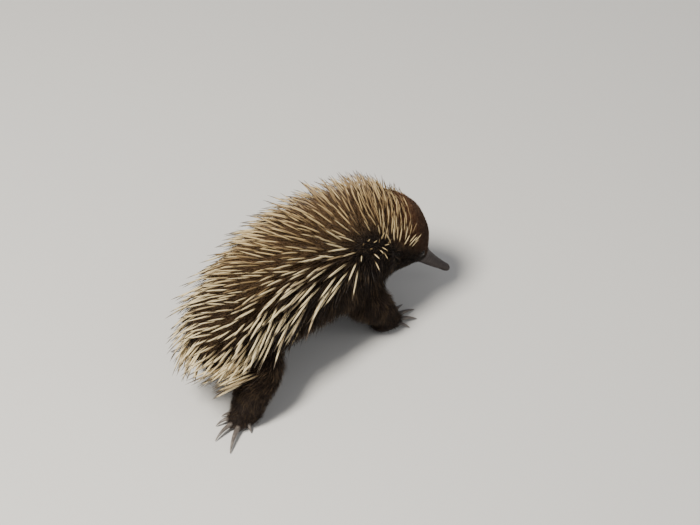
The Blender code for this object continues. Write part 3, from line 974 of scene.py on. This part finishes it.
def tube(rings, sides, lanes=1, lane=0):
    """A tapered closed tube as (points, faces, along, patch), from rings of place and radius.
    Its patch is one lane of a tuft's."""
    points, along, faces, patch = [], [], [], []
    around = [math.tau * k / sides for k in range(sides)]
    across = [((lane + k / sides) / lanes, (lane + (k + 1) / sides) / lanes) for k in range(sides)]
    for x, y, z, radius in rings[:-1]:
        points += [(x + radius * math.cos(a), y + radius * math.sin(a), z) for a in around]
        along += [max(z, 0)] * sides
    points.append(rings[-1][:3])
    along.append(1.0)
    for ring in range(len(rings) - 2):
        low, high = rings[ring][2], rings[ring + 1][2]
        for k, (left, right) in enumerate(across):
            a, b = ring * sides + k, ring * sides + (k + 1) % sides
            faces.append((a, b, b + sides, a + sides))
            patch.append(((left, low), (right, low), (right, high), (left, high)))
    start, last, low = (len(rings) - 2) * sides, len(points) - 1, rings[-2][2]
    for k, (left, right) in enumerate(across):
        faces.append((start + k, start + (k + 1) % sides, last))
        patch.append(((left, low), (right, low), ((left + right) / 2, 1.0)))
    faces.append(tuple(range(sides))[::-1])
    ends = [((lane + 0.5 + 0.4 * math.cos(a)) / lanes, 0.05 + 0.04 * math.sin(a)) for a in around]
    patch.append(ends[::-1])
    return points, faces, along, patch


def shape_object(name, tubes):
    """A hidden object that the coat's instances are copies of."""
    points, faces, along, patch = [], [], [], []
    for tube_points, tube_faces, tube_along, tube_patch in tubes:
        start = len(points)
        points += tube_points
        faces += [tuple(start + i for i in face) for face in tube_faces]
        along += tube_along
        patch += [corner for face in tube_patch for corner in face]
    mesh = bpy.data.meshes.new(name)
    mesh.from_pydata(points, [], faces)
    store(mesh, "along", np.array(along))
    layer = mesh.uv_layers.new(name="patch")
    layer.uv.foreach_set("vector", np.clip(np.array(patch), 0, 1).astype(np.float32).ravel())
    mesh.shade_smooth()
    made = link(mesh, name)
    made.hide_render = True
    return made


def bowed_shape(name, widths, bow, sides):
    """One tapering spine of unit length, bowed, from its widths along it."""
    rings = [(-bow * max(t, 0) ** 2, 0, t, width / 2) for t, width in widths]
    return shape_object(name, [tube(rings + [(-bow, 0, 1, 0)], sides)])


def tuft_shape(name, hairs, splay, seed, steps):
    """A tuft of unit length: hairs from almost one root that part towards their tips."""
    chance = np.random.default_rng(seed)
    tubes = []
    for hair in range(hairs):
        angle = math.tau * (hair + chance.uniform(-0.3, 0.3)) / hairs
        outward = np.array((math.cos(angle), math.sin(angle))) * splay
        root = outward * 0.45
        part = outward * chance.uniform(0.5, 1.3)
        bow = chance.uniform(-0.6, 1.0) * splay
        length = chance.uniform(0.72, 1.0)
        rings = []
        for i in range(steps + 1):
            t = i / steps
            x, y = root + part * t**1.4
            x += bow * math.sin(math.pi * t * 0.8) * 0.6
            thickness = 0.5 * (1 - t) ** 0.55
            rings.append((x, y, t * length if i else -0.06, thickness))
        tubes.append(tube(rings, 3, hairs, hair))
    return shape_object(name, tubes)


NUMBERS = (
    "Spacing", "Gauge", "Gauge varies", "Length varies", "Jitter", "Clumping", "Clump size",
    "Curl", "Droop",
)
INPUTS = {"Skin": "Geometry", "Shape": "Object", "Material": "Material", "Seed": "Int"}
INPUTS |= dict.fromkeys(NUMBERS, "Float")
INPUTS |= dict.fromkeys(("Share by", "Length by", "Lift by", "Gauge by"), "String")

# How many roots are tried for each one that finds room, and how far a tuft is turned about itself
ROOTS_TRIED = 3.2
TURNED_ABOUT = 0.6


def coat_tree():
    """Copies of a shape stand on the skin, lean along the coat's lie and bend to their tips."""
    tree = bpy.data.node_groups.new("coat", "GeometryNodeTree")
    for name, kind in INPUTS.items():
        tree.interface.new_socket(name, in_out="INPUT", socket_type=f"NodeSocket{kind}")
    tree.interface.new_socket("Coat", in_out="OUTPUT", socket_type="NodeSocketGeometry")
    g = Graph(tree)
    entry = g.node("NodeGroupInput")

    def given(name):
        return Socket(g, pick(entry.outputs, name))

    def named(name, kind="FLOAT"):
        return g.add("GeometryNodeInputNamedAttribute", {"data_type": kind}, {"Name": name})

    def chance(low, salt):
        """A random number from low to 1 for each root."""
        sockets = {"Min": low, "Max": 1.0, "Seed": given("Seed") + salt}
        return g.add("FunctionNodeRandomValue", {"data_type": "FLOAT"}, sockets)

    def loose(salt):
        """A random vector for each root, with sides from -1 to 1."""
        sockets = {"Min": (-1.0, -1.0, -1.0), "Max": (1.0, 1.0, 1.0), "Seed": given("Seed") + salt}
        return g.add("FunctionNodeRandomValue", {"data_type": "FLOAT_VECTOR"}, sockets)

    def scaled(vector, factor):
        sockets = {"Vector": vector, "Scale": factor}
        return g.add("ShaderNodeVectorMath", {"operation": "SCALE"}, sockets)

    def stored(geometry, name, value, kind="FLOAT_VECTOR"):
        settings = {"data_type": kind, "domain": "INSTANCE"}
        sockets = {"Geometry": geometry, "Name": name, "Value": value}
        return g.add("GeometryNodeStoreNamedAttribute", settings, sockets)

    spacing = given("Spacing")
    sockets = {
        "Mesh": given("Skin"),
        "Distance Min": spacing,
        "Density Max": ROOTS_TRIED * spacing ** -2.0,
        "Density Factor": named(given("Share by")),
        "Seed": given("Seed"),
    }
    settings = {"distribute_method": "POISSON"}
    scattered = g.node("GeometryNodeDistributePointsOnFaces", settings, sockets)
    roots = Socket(g, pick(scattered.outputs, "Points"))
    normal = Socket(g, pick(scattered.outputs, "Normal"))
    where = g.add("GeometryNodeInputPosition")

    lie = named("lie", "FLOAT_VECTOR")
    into = g.vector("DOT_PRODUCT", lie, normal)
    lie = g.vector("SUBTRACT", lie, scaled(normal, into.math("MINIMUM", into, 0.0)))
    lift = named(given("Lift by"))
    flat, risen = lift.math("COSINE", lift), lift.math("SINE", lift)
    ahead = g.vector("ADD", scaled(lie, flat), scaled(normal, risen))
    swirl = g.noise(where, given("Clump size"), 1.0, "Color")
    swirl = scaled(g.vector("SUBTRACT", swirl, (0.5, 0.5, 0.5)), given("Clumping"))
    jitter = scaled(loose(1), given("Jitter"))
    ahead = g.vector("ADD", ahead, g.vector("ADD", swirl, jitter))
    turned = g.add("FunctionNodeAlignRotationToVector", {"axis": "Z"}, {"Vector": ahead})
    spun = g.vector("ADD", normal, scaled(loose(2), TURNED_ABOUT))
    settings = {"axis": "X", "pivot_axis": "Z"}
    sockets = {"Rotation": turned, "Vector": spun}
    turned = g.add("FunctionNodeAlignRotationToVector", settings, sockets)

    length = named(given("Length by")) * chance(1.0 - given("Length varies"), 3)
    gauge = given("Gauge") * named(given("Gauge by")) * chance(1.0 - given("Gauge varies"), 4)
    size = g.add("ShaderNodeCombineXYZ", {}, {"X": gauge, "Y": gauge, "Z": length})
    shape = g.add("GeometryNodeObjectInfo", {}, {"Object": given("Shape")}, "Geometry")
    sockets = {"Points": roots, "Instance": shape, "Rotation": turned, "Scale": size}
    coat = g.add("GeometryNodeInstanceOnPoints", {}, sockets)

    curl = scaled(loose(5), given("Curl") * length)
    droop = g.add("ShaderNodeCombineXYZ", {}, {"Z": given("Droop") * length * -1.0})
    coat = stored(coat, "bend", g.vector("ADD", curl, droop))
    coat = stored(coat, "tone", chance(0.0, 6), "FLOAT")
    coat = stored(coat, "root", where)
    coat = g.add("GeometryNodeRealizeInstances", {}, {"Geometry": coat})
    offset = scaled(named("bend", "FLOAT_VECTOR"), named("along") ** 2.0)
    coat = g.add("GeometryNodeSetPosition", {}, {"Geometry": coat, "Offset": offset})
    sockets = {"Geometry": coat, "Material": given("Material")}
    coat = g.add("GeometryNodeSetMaterial", {}, sockets)
    g.node("NodeGroupOutput", {}, {"Coat": coat})
    return tree


@dataclass(frozen=True)
class Layer:
    """One piece of the coat: where it grows and how its tufts vary. Fields that are named like the
    tree's inputs set them."""

    name: str
    slot: str
    shape: str
    kind: str
    spacing: float
    gauge: float
    region: object
    seed: int
    grown_by: str = "fur"
    length_varies: float = 0.25
    gauge_varies: float = 0.25
    jitter: float = 0.10
    clumping: float = 0.30
    clump_size: float = 70.0
    curl: float = 0.06
    droop: float = 0.0

    def inputs(self):
        """Values for the tree's inputs by their names."""
        sized_by = "fur" if self.grown_by == "fur" else "quill"
        named = {
            field.name.replace("_", " ").capitalize(): getattr(self, field.name)
            for field in fields(self)
        }
        return named | {
            "Share by": f"{self.grown_by}_share",
            "Length by": f"{self.grown_by}_length",
            "Lift by": f"{sized_by}_lift",
            "Gauge by": f"{sized_by}_gauge",
        }


def skin_patch(where):
    """A copy of the skin's faces there, for a layer of the coat to grow on."""
    edited = bmesh.new()
    edited.from_mesh(Skin.made.data)
    edited.verts.ensure_lookup_table()

    def away(face):
        return sum(bool(where[v.index]) for v in face.verts) * 2 <= len(face.verts)

    bmesh.ops.delete(edited, geom=[f for f in edited.faces if away(f)], context="FACES")
    mesh = bpy.data.meshes.new("patch")
    edited.to_mesh(mesh)
    edited.free()
    return link(mesh, "patch")


def unwrapped(roots, on_limbs):
    """Roots on an unwrap of the skin's own shape: along and around the body, or each limb."""
    if not on_limbs:
        places = Places(roots)
        return np.stack([places.along, places.down], axis=1)
    middles = np.array([node_middle(leg) for leg in LEGS])
    gaps = np.linalg.norm(roots[:, None, :2] - middles[None, :, :2], axis=2)
    nearest = gaps.argmin(axis=1)
    offset = roots[:, :2] - middles[nearest, :2]
    around = np.arctan2(offset[:, 1], offset[:, 0]) / math.tau + 0.5
    return np.stack([nearest + around * 0.96, roots[:, 2]], axis=1)


def add_bake_map(mesh, on_limbs):
    """OFBake: each tuft is a small patch at its root's place on the skin's unwrap."""
    flat = unwrapped(gathered(mesh.attributes["root"].data, "vector"), on_limbs)
    low, high = flat.min(axis=0), flat.max(axis=0)
    flat = MAP_MARGIN + (flat - low) / (high - low) * (1 - 2 * MAP_MARGIN - PATCH_SIZE)
    corners = gathered(mesh.loops, "vertex_index", 1, np.int64)[:, 0]
    local = gathered(mesh.attributes["patch"].data, "vector", 2)
    placed = flat[corners] + local * PATCH_SIZE
    layer = mesh.uv_layers.new(name="OFBake")
    layer.uv.foreach_set("vector", placed.astype(np.float32).ravel())


def grow(layer, tree, shapes, materials):
    """One layer of the coat as a plain mesh."""
    holder = skin_patch(layer.region(Skin.places, Skin.labels))
    modifier = holder.modifiers.new("coat", "NODES")
    modifier.node_group = tree
    values = layer.inputs() | {"Shape": shapes[layer.shape], "Material": materials[layer.kind]}
    for item in tree.interface.items_tree:
        if item.in_out == "INPUT" and item.name in values:
            modifier[item.identifier] = values[item.name]
    mesh = evaluated(holder)
    mesh.name = layer.name
    add_bake_map(mesh, layer.name.startswith(("legs", "feet")))
    kept = {"along", "tone", "warmth", "pigment", "OFBake"}
    for name in [a.name for a in mesh.attributes]:
        attribute = mesh.attributes[name]
        if name not in kept and not attribute.is_internal and not attribute.is_required:
            mesh.attributes.remove(attribute)
    mesh.materials.clear()
    mesh.materials.append(materials[layer.kind])
    piece = link(mesh, layer.name)
    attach(piece, "root")


def region(names, start=-math.inf, end=math.inf, side=None, edge=None):
    """A test for the skin of the named parts from start to end along the body: all of it, or one
    side of it, or what is above or below the edge of the quills."""
    def there(places, labels):
        found = among(labels, names) & (places.along >= start) & (places.along < end)
        if side:
            found &= (places.down > 0) == (side == "right")
        if edge:
            above = places.off_top < places.edge + UNDERFUR_PAST_EDGE
            found &= above == (edge == "above")
        return found
    return there


def low_rump(places, labels):
    """Below and behind the rump, and the tops of the hind legs."""
    start, end = LOW_RUMP_DOWN
    low = (places.off_top > start) & (places.along < LOW_RUMP_BEHIND)
    behind = (places.off_top > RUMP_END_DOWN) & (places.along < RUMP_END_BEHIND)
    legs = among(labels, LEGS) & (places.points[:, 2] > QUILLED_LEG_HEIGHT)
    return (on_body(labels) | legs) & (low | behind) & (places.off_top < end)


def layers_of(common, rows):
    """Layers that share common fields, from rows of name, spacing, region and seed."""
    return [
        Layer(name=name, spacing=spacing, region=region, seed=seed, **common)
        for name, spacing, region, seed in rows
    ]


def quill_layers(sizes):
    """Quills and the dark bristles between them."""
    spiny = {"slot": "spiny_coat", "clumping": 0.50, "clump_size": 45.0}
    spiny |= {"curl": 0.070, "droop": 0.05}
    quill = {"shape": "quill", "kind": "quill", "gauge": sizes.quill_gauge, "grown_by": "quill"}
    thin = sizes.quill_gauge * BRISTLE_GAUGE_SHARE
    bristle = {"shape": "bristle", "kind": "bristle", "gauge": thin, "grown_by": "bristle"}
    wide, bristly = sizes.quill_spacing, sizes.bristle_spacing
    back = {"names": BODY + TAIL, "end": HEAD_QUILLS_FROM}
    return layers_of(spiny | quill, (
        ("quills_right", wide, region(**back, side="right"), 11),
        ("quills_left", wide, region(**back, side="left"), 12),
        ("quills_head", wide * 0.60, region(BODY, HEAD_QUILLS_FROM), 13),
        ("quills_rump", wide * 0.66, low_rump, 16),
    )) + layers_of(spiny | bristle, (
        ("bristles_right", bristly, region(BODY + TAIL, side="right"), 14),
        ("bristles_left", bristly, region(BODY + TAIL, side="left"), 15),
    ))


def fur_layers(sizes):
    """Fur between the quills, underneath and on the limbs, and shorter on the head and feet."""
    gauge, spacing = sizes.hair_gauge, sizes.fur_spacing
    long = {"slot": "dark_fur", "kind": "fur", "shape": "tuft", "gauge": gauge}
    long |= {"jitter": 0.16, "clumping": 0.45}
    short = {"kind": "fur", "shape": "short_tuft", "gauge": gauge * 0.72, "clump_size": 120.0}
    back = {"names": BODY + TAIL, "end": NECK_FUR_FROM}
    return layers_of(long, (
        ("underfur_right", spacing, region(**back, side="right", edge="above"), 21),
        ("underfur_left", spacing, region(**back, side="left", edge="above"), 22),
        ("fur_belly", spacing * 1.32, region(**back, edge="below"), 23),
    )) + layers_of(short | {"slot": "brown_fur"}, (
        ("fur_neck", 0.00165, region(BODY, NECK_FUR_FROM, FACE_FUR_FROM), 24),
        ("fur_face", 0.00105, region(BODY + BEAK, FACE_FUR_FROM), 28),
    )) + layers_of(long, (
        ("legs_fore_fur", 0.0019, region(LEGS[:2]), 25),
        ("legs_hind_fur", 0.0019, region(LEGS[2:]), 26),
    )) + layers_of(short | {"slot": "dark_fur"}, (
        ("feet_fur", 0.0014, region(FEET), 27),
    ))


def grow_layers(layers, shapes, materials):
    """Grows each layer on the skin, then removes the shapes that they are copies of."""
    tree = coat_tree()
    for layer in layers:
        grow(layer, tree, shapes, materials)
    for shape in shapes.values():
        bpy.data.objects.remove(shape)


def make_eye(side, material):
    """A fine wet bead in place of the CAD's coarse one."""
    low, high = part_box(f"eye_{side}")
    edited = bmesh.new()
    bmesh.ops.create_uvsphere(edited, u_segments=40, v_segments=24, radius=(high - low).z / 2)
    bmesh.ops.translate(edited, verts=edited.verts, vec=(low + high) / 2)
    mesh = bpy.data.meshes.new(f"eye_{side}_bead")
    edited.to_mesh(mesh)
    edited.free()
    mesh.shade_smooth()
    mesh.materials.append(material)
    piece = link(mesh, mesh.name)
    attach(piece, "root")
    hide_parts(f"eye_{side}")


def make_claws(kind, side, material):
    """A foot's five claws, made smooth and grown from their points to root in the toes."""
    edited = bmesh.new()
    nodes = [f"claw_{kind}_{side}_{i}" for i in range(1, 6)]
    middle = node_middle(f"{kind}foot_{side}")
    for node in nodes:
        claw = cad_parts[node].data.copy()
        places = [vertex.co for vertex in claw.vertices]
        tip = max(places, key=lambda place: (place - middle).length)
        there, back = Matrix.Translation(tip), Matrix.Translation(-tip)
        claw.transform(there @ Matrix.Scale(CLAW_ROOTED, 4) @ back)
        edited.from_mesh(claw)
        bpy.data.meshes.remove(claw)
    bmesh.ops.remove_doubles(edited, verts=edited.verts, dist=MERGE_WITHIN)
    mesh = bpy.data.meshes.new(f"claws_{kind}_{side}")
    edited.to_mesh(mesh)
    edited.free()
    if "custom_normal" in mesh.attributes:
        mesh.attributes.remove(mesh.attributes["custom_normal"])
    holder = link(mesh, "claws")
    modifier = holder.modifiers.new("round", "SUBSURF")
    modifier.levels = modifier.render_levels = 2
    mesh = evaluated(holder)
    mesh.shade_smooth()
    mesh.materials.clear()
    mesh.materials.append(material)
    piece = link(mesh, f"claws_{kind}_{side}")
    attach(piece, "root")
    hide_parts(*nodes)


class ECHIDNA_OT_skin(bpy.types.Operator):
    """Make the skin, with its eyelids, nostrils, mouth and ear folds"""

    bl_idname = "echidna.skin"
    bl_label = "Skin"

    def execute(self, context):
        make_skin(context.scene.echidna_sizes)
        return {"FINISHED"}


class ECHIDNA_OT_eyes(bpy.types.Operator):
    """Make both eyes"""

    bl_idname = "echidna.eyes"
    bl_label = "Eyes"

    def execute(self, context):
        material = eye_material()
        for side in SIDES:
            make_eye(side, material)
        return {"FINISHED"}


class ECHIDNA_OT_claws(bpy.types.Operator):
    """Make the claws of all four feet"""

    bl_idname = "echidna.claws"
    bl_label = "Claws"

    def execute(self, context):
        material = claw_material()
        for kind in ("fore", "hind"):
            for side in SIDES:
                make_claws(kind, side, material)
        return {"FINISHED"}


class ECHIDNA_OT_quills(bpy.types.Operator):
    """Grow the quills of back, flanks, rump and head on the skin"""

    bl_idname = "echidna.quills"
    bl_label = "Quills"

    def execute(self, context):
        scene = context.scene
        materials = {"quill": quill_material(scene.echidna_colours), "bristle": bristle_material()}
        shapes = {
            "quill": bowed_shape("quill_shape", QUILL_WIDTHS, 0.9, 8),
            "bristle": bowed_shape("bristle_shape", BRISTLE_WIDTHS, 2.5, 4),
        }
        grow_layers(quill_layers(scene.echidna_sizes), shapes, materials)
        return {"FINISHED"}


class ECHIDNA_OT_fur(bpy.types.Operator):
    """Grow the fur between the quills and on head, belly, legs and feet"""

    bl_idname = "echidna.fur"
    bl_label = "Fur"

    def execute(self, context):
        shapes = {
            "tuft": tuft_shape("tuft_shape", hairs=4, splay=4.5, seed=31, steps=3),
            "short_tuft": tuft_shape("short_tuft_shape", hairs=3, splay=3.0, seed=32, steps=2),
        }
        grow_layers(fur_layers(context.scene.echidna_sizes), shapes, {"fur": fur_material()})
        return {"FINISHED"}


def make_camera():
    """Looks at the animal as the picture does."""
    right = Vector((math.cos(AZIMUTH), math.sin(AZIMUTH), 0))
    level = Vector((-math.sin(AZIMUTH), math.cos(AZIMUTH), 0))
    ahead = level * math.cos(ELEVATION) - Vector((0, 0, math.sin(ELEVATION)))
    upward = right.cross(ahead)
    across = (PICTURE[0] / 2 - AIM_PIXEL[0]) * PIXEL_COVERS
    lift = (AIM_PIXEL[1] - PICTURE[1] / 2) * PIXEL_COVERS
    camera = bpy.data.cameras.new("camera")
    camera.sensor_width = SENSOR
    camera.lens = DISTANCE / PIXEL_COVERS * SENSOR / PICTURE[0]
    made = link(camera, "camera")
    place = AIM - ahead * DISTANCE + right * across + upward * lift
    facing = Matrix((right, upward, -ahead)).transposed().to_4x4()
    made.matrix_world = Matrix.Translation(place) @ facing
    bpy.context.scene.camera = made


def make_light(name, direction, distance, size, watts, colour):
    """A soft area light that faces the animal."""
    light = bpy.data.lights.new(name, "AREA")
    light.shape = "DISK"
    light.size = size
    light.energy = watts
    light.color = colour
    made = link(light, name)
    place = Vector(direction).normalized() * distance
    made.location = place + AIM
    made.rotation_euler = (-place).to_track_quat("-Z", "Y").to_euler()


def make_sky():
    """Soft light from all around."""
    world = bpy.data.worlds.new("studio")
    world.use_nodes = True
    background = world.node_tree.nodes["Background"]
    background.inputs["Color"].default_value = SKY
    background.inputs["Strength"].default_value = SKY_STRENGTH
    bpy.context.scene.world = world


def make_floor():
    """A plain pale floor under the soles."""
    mesh = bpy.data.meshes.new("floor")
    signs = ((-1, -1), (1, -1), (1, 1), (-1, 1))
    mesh.from_pydata([(x * FLOOR_HALF, y * FLOOR_HALF, 0) for x, y in signs], [], [(0, 1, 2, 3)])
    mesh.materials.append(floor_material())
    link(mesh, "floor")


class ECHIDNA_OT_stage(bpy.types.Operator):
    """Set the camera, a pale floor and soft studio light"""

    bl_idname = "echidna.stage"
    bl_label = "Stage"

    def execute(self, context):
        make_camera()
        make_floor()
        for light in LIGHTS:
            make_light(*light)
        make_sky()
        return {"FINISHED"}


class ECHIDNA_PT_panel(bpy.types.Panel):
    """The steps that make the echidna, in order"""

    bl_label = "Echidna"
    bl_idname = "ECHIDNA_PT_panel"
    bl_space_type = "VIEW_3D"
    bl_region_type = "UI"
    bl_category = "Echidna"

    def draw(self, context):
        scene = context.scene
        for group in (scene.echidna_sizes, scene.echidna_colours):
            for name in group.__annotations__:
                self.layout.prop(group, name)
        for operator in OPERATORS:
            self.layout.operator(operator.bl_idname)


OPERATORS = (
    ECHIDNA_OT_stage,
    ECHIDNA_OT_skin,
    ECHIDNA_OT_eyes,
    ECHIDNA_OT_claws,
    ECHIDNA_OT_quills,
    ECHIDNA_OT_fur,
)
CLASSES = (EchidnaSizes, EchidnaColours, *OPERATORS, ECHIDNA_PT_panel)


def register():
    for made in CLASSES:
        bpy.utils.register_class(made)
    bpy.types.Scene.echidna_sizes = bpy.props.PointerProperty(type=EchidnaSizes)
    bpy.types.Scene.echidna_colours = bpy.props.PointerProperty(type=EchidnaColours)


def unregister():
    del bpy.types.Scene.echidna_colours
    del bpy.types.Scene.echidna_sizes
    for made in reversed(CLASSES):
        bpy.utils.unregister_class(made)


def main():
    register()
    bpy.ops.echidna.stage()
    bpy.ops.echidna.skin()
    bpy.ops.echidna.eyes()
    bpy.ops.echidna.claws()
    bpy.ops.echidna.quills()
    bpy.ops.echidna.fur()


if __name__ == "__main__":
    main()
